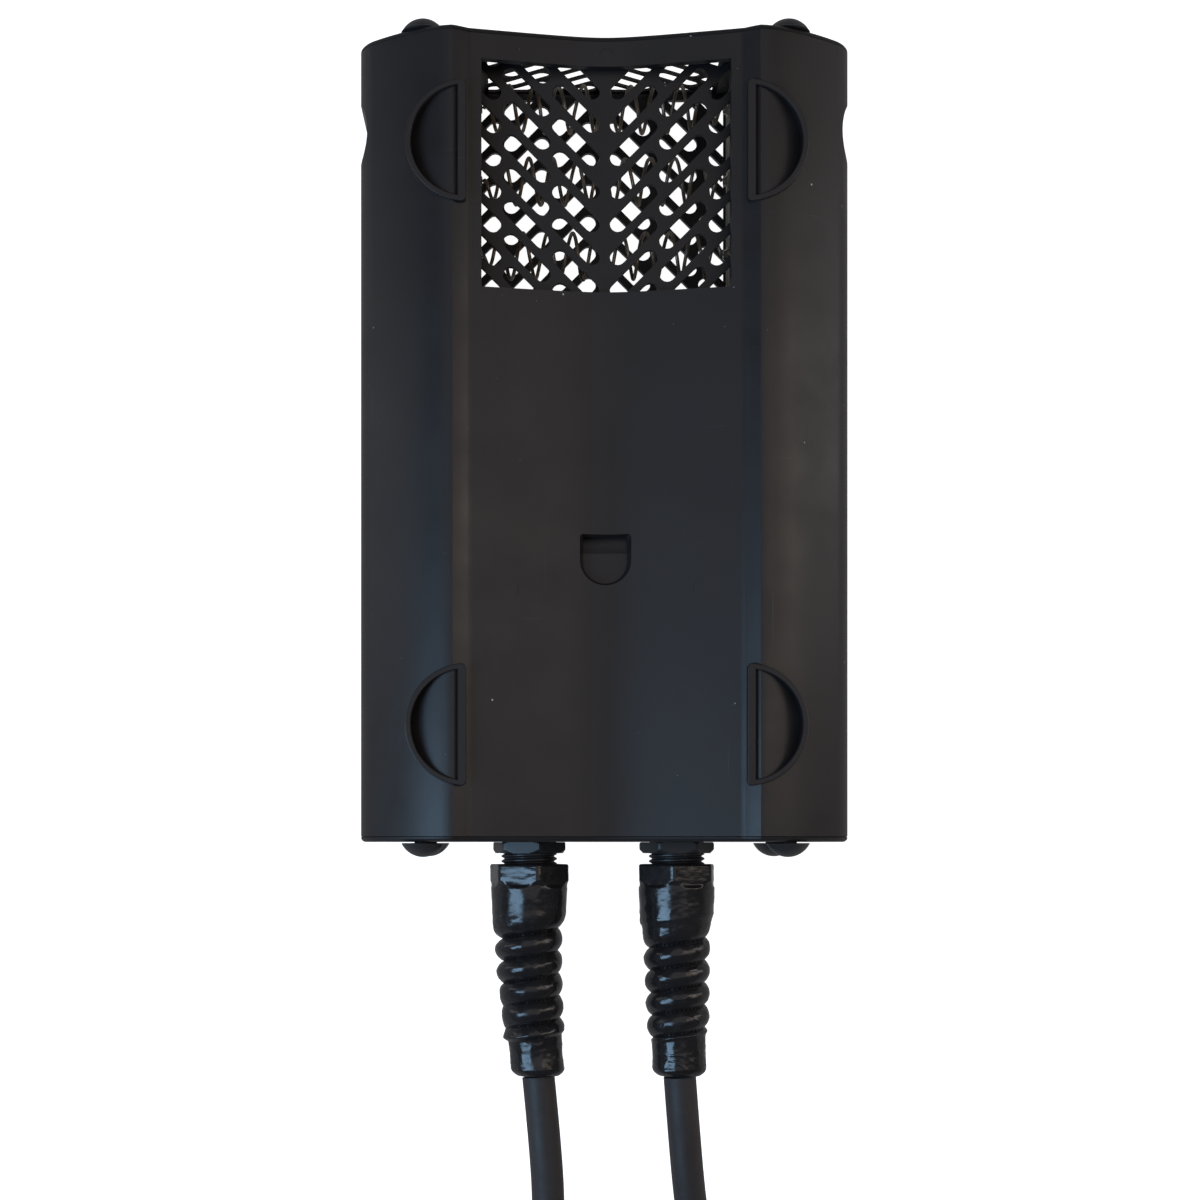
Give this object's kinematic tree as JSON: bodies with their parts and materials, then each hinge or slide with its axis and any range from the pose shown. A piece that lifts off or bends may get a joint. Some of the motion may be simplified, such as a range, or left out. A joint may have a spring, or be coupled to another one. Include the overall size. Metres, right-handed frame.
{
  "type": "vented load resistor box",
  "caption": "Black moulded box with chevron vent grilles over open resistance-wire coils, a rear hook slot and gland-sealed rubber leads with boots.",
  "frame": {"origin": "middle of the bounding box of the box with its glands and boots, on the plane its flat front rests on", "axes": "+Y along the box away from the glands, +Z out of the back, +X to the right seen from the back with the glands down"},
  "size_m": [0.1412, 0.5117, 0.0559],
  "materials": {
    "case_plastic": "satin black moulding with a fine grain",
    "grille_plastic": "satin black",
    "bumper_rubber": "smooth dark grey",
    "gland_polymer": "dark grey",
    "shrink_sleeve": "glossy, shrunk on with fine wrinkles",
    "lead_rubber": "matte dark rubber jacket",
    "resistance_wire": "oxidised brown-grey wire",
    "plated_steel": "bright plated",
    "insulation_board": "pressed mineral board",
    "terminal_ceramic": "unglazed",
    "shield_sheet": "mill"
  },
  "bodies": {
    "root": {"back_shell": "case_plastic", "base_nut_left": "gland_polymer", "base_nut_right": "gland_polymer", "bend_guard_left": "shrink_sleeve", "bend_guard_right": "shrink_sleeve", "bottom_cap": "case_plastic", "element_plate_left": "insulation_board", "element_plate_right": "insulation_board", "end_bumper_bottom_left_front": "bumper_rubber", "end_bumper_bottom_left_rear": "bumper_rubber", "end_bumper_bottom_right_front": "bumper_rubber", "end_bumper_bottom_right_rear": "bumper_rubber", "end_bumper_top_left_front": "bumper_rubber", "end_bumper_top_left_rear": "bumper_rubber", "end_bumper_top_right_front": "bumper_rubber", "end_bumper_top_right_rear": "bumper_rubber", "end_ring_left": "shrink_sleeve", "end_ring_right": "shrink_sleeve", "ferrule_left_1": "plated_steel", "ferrule_left_2": "plated_steel", "ferrule_left_3": "plated_steel", "ferrule_right_1": "plated_steel", "ferrule_right_2": "plated_steel", "ferrule_right_3": "plated_steel", "front_grille": "grille_plastic", "front_shell": "case_plastic", "gland_cap_left": "gland_polymer", "gland_cap_right": "gland_polymer", "gland_tube_left": "gland_polymer", "gland_tube_right": "gland_polymer", "heat_shield": "shield_sheet", "jumper_left": "lead_rubber", "jumper_right": "lead_rubber", "lead_inner_left": "lead_rubber", "lead_inner_right": "lead_rubber", "lead_left_coil": "lead_rubber", "lead_left_run": "lead_rubber", "lead_right_coil": "lead_rubber", "lead_right_run": "lead_rubber", "lock_nut_left": "gland_polymer", "lock_nut_right": "gland_polymer", "rear_grille": "grille_plastic", "resistance_coil_1": "resistance_wire", "resistance_coil_2": "resistance_wire", "resistance_coil_3": "resistance_wire", "series_link_left": "plated_steel", "series_link_right": "plated_steel", "shrink_sleeve_left": "shrink_sleeve", "shrink_sleeve_right": "shrink_sleeve", "terminal_block": "terminal_ceramic", "terminal_screw_left": "plated_steel", "terminal_screw_right": "plated_steel", "thermal_cutout": "plated_steel", "top_cap": "case_plastic"}
  },
  "joints": []
}
